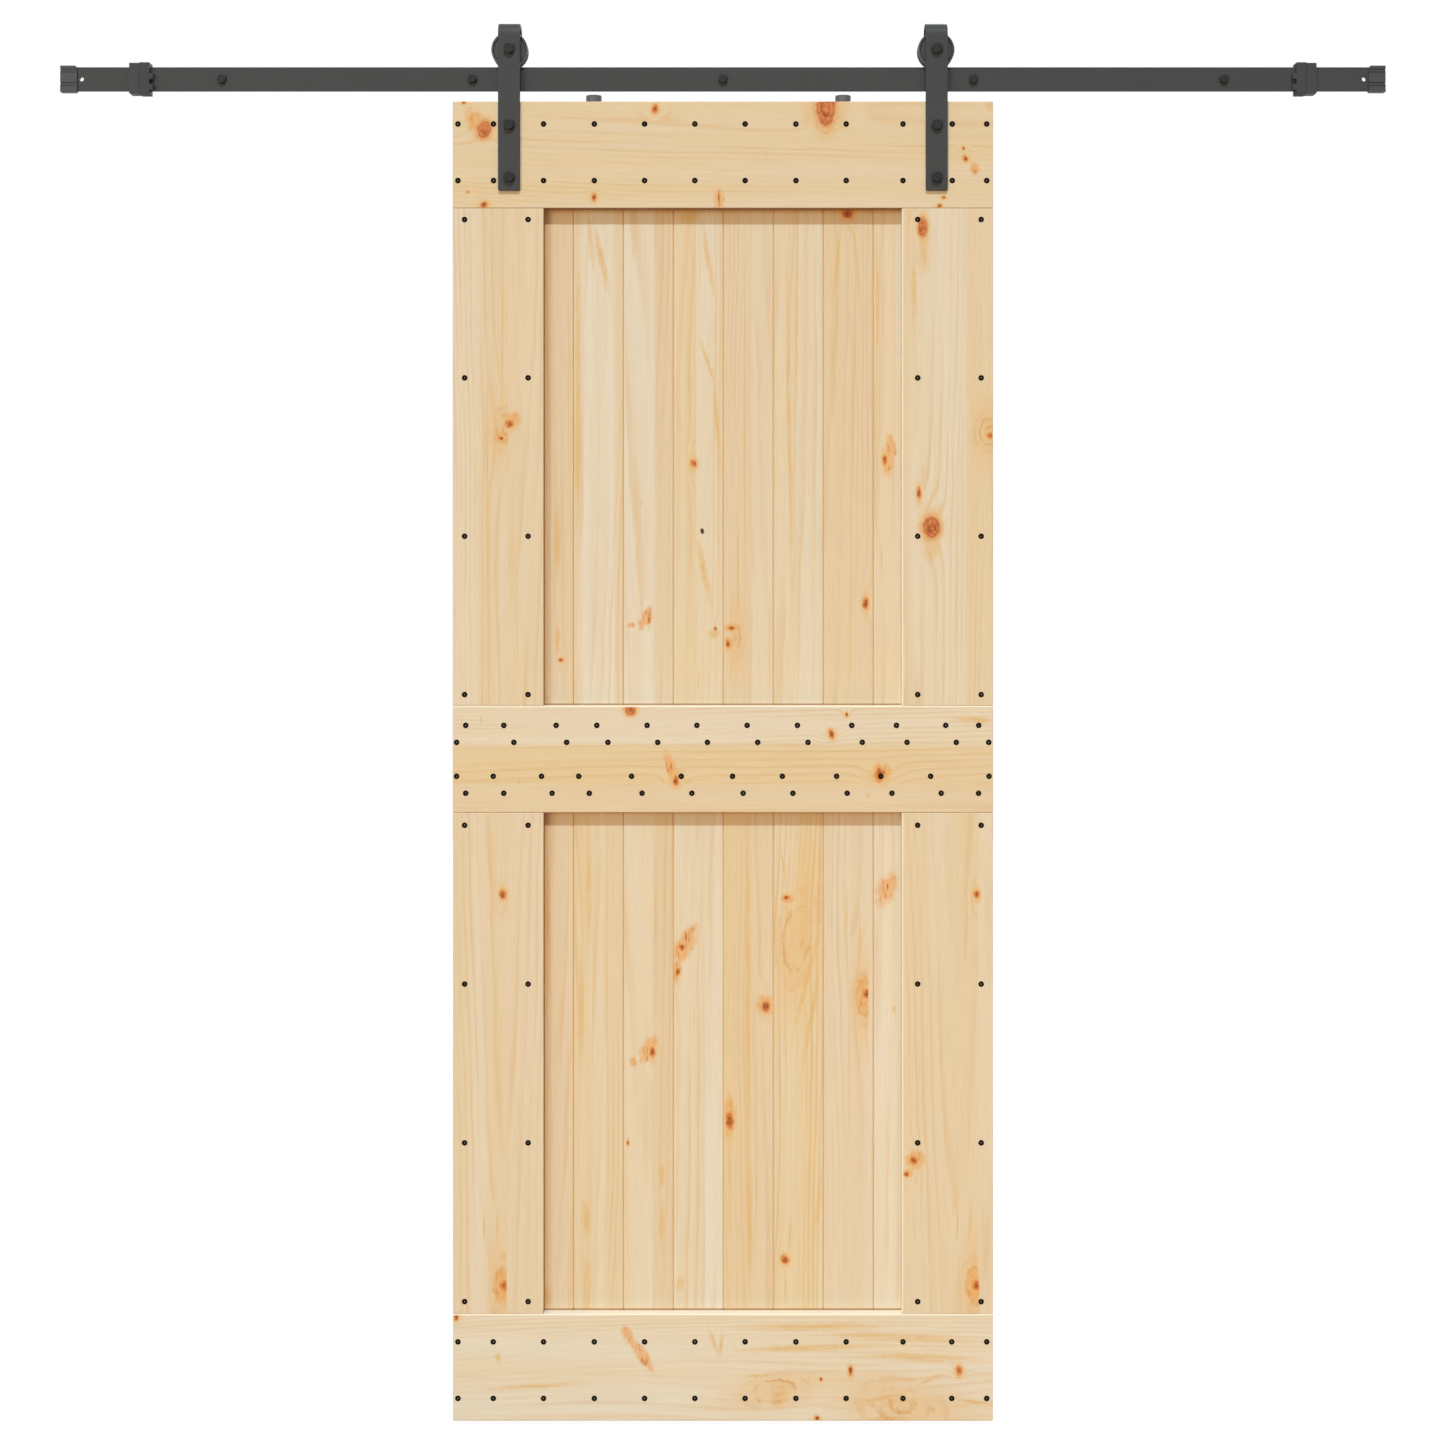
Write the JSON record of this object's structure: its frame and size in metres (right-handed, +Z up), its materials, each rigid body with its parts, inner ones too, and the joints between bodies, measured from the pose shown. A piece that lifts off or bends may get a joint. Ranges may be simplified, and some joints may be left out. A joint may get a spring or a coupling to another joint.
{
  "type": "sliding barn door",
  "caption": "Sliding barn door: framed pine plank leaf hung on bent strap rollers that run on a flat wall track with end stops.",
  "frame": {"origin": "on the wall plane, on the axis of the middle track screw, at the back face of its spacer", "axes": "+X along the track, to the right seen from the front; +Y into the wall; +Z up"},
  "size_m": [2.115, 0.1164, 2.2262],
  "materials": {
    "plank_pine": "planed pine, unfinished",
    "frame_pine": "planed pine, unfinished",
    "black_fixings": "black oxide",
    "strap_steel": "matt powder coat",
    "hex_steel": "matt powder coat",
    "track_steel": "matt powder coat",
    "wheel_nylon": "satin",
    "bush_brass": "plain",
    "bumper_rubber": "matt",
    "cap_plastic": "matt"
  },
  "bodies": {
    "track": {"track_bar": "track_steel", "track_spacers": "track_steel", "track_screws": "hex_steel", "left_stop_clamp": "track_steel", "right_stop_clamp": "track_steel", "stop_bumpers": "bumper_rubber", "left_end_cap": "cap_plastic", "right_end_cap": "cap_plastic"},
    "door_leaf": {"upper_plank_01": "plank_pine", "upper_plank_02": "plank_pine", "upper_plank_03": "plank_pine", "upper_plank_04": "plank_pine", "upper_plank_05": "plank_pine", "upper_plank_06": "plank_pine", "upper_plank_07": "plank_pine", "upper_plank_08": "plank_pine", "upper_plank_09": "plank_pine", "upper_plank_10": "plank_pine", "upper_plank_11": "plank_pine", "upper_plank_12": "plank_pine", "lower_plank_01": "plank_pine", "lower_plank_02": "plank_pine", "lower_plank_03": "plank_pine", "lower_plank_04": "plank_pine", "lower_plank_05": "plank_pine", "lower_plank_06": "plank_pine", "lower_plank_07": "plank_pine", "lower_plank_08": "plank_pine", "lower_plank_09": "plank_pine", "lower_plank_10": "plank_pine", "lower_plank_11": "plank_pine", "lower_plank_12": "plank_pine", "top_rail": "frame_pine", "mid_rail": "frame_pine", "bottom_rail": "frame_pine", "upper_left_stile": "frame_pine", "upper_right_stile": "frame_pine", "lower_left_stile": "frame_pine", "lower_right_stile": "frame_pine", "top_rail_screws": "black_fixings", "mid_rail_screws": "black_fixings", "bottom_rail_screws": "black_fixings", "stile_screws": "black_fixings", "left_hanger_strap": "strap_steel", "right_hanger_strap": "strap_steel", "axle_bolts": "hex_steel", "axle_nuts": "hex_steel", "axle_bushes": "bush_brass", "strap_screws": "hex_steel", "anti_jump_discs": "cap_plastic", "anti_jump_screws": "black_fixings"},
    "left_roller": {"left_wheel": "wheel_nylon"},
    "right_roller": {"right_wheel": "wheel_nylon"}
  },
  "joints": [
    {"name": "door_slide", "type": "slide", "parent": "track", "child": "door_leaf", "axis": [1, 0, 0], "range_m": [-0.552, 0.552]},
    {"name": "left_wheel_spin", "type": "hinge", "parent": "door_leaf", "child": "left_roller", "pos_m": [-0.34, -0.035, 0.04525], "axis": [0, 1, 0], "range_deg": [-1217, 1217]},
    {"name": "right_wheel_spin", "type": "hinge", "parent": "door_leaf", "child": "right_roller", "pos_m": [0.34, -0.035, 0.04525], "axis": [0, 1, 0], "range_deg": [-1217, 1217]}
  ],
  "couplings": [
    {"joint": "left_wheel_spin", "follows": "door_slide", "rad_per_m": 38.462},
    {"joint": "right_wheel_spin", "follows": "door_slide", "rad_per_m": 38.462}
  ]
}
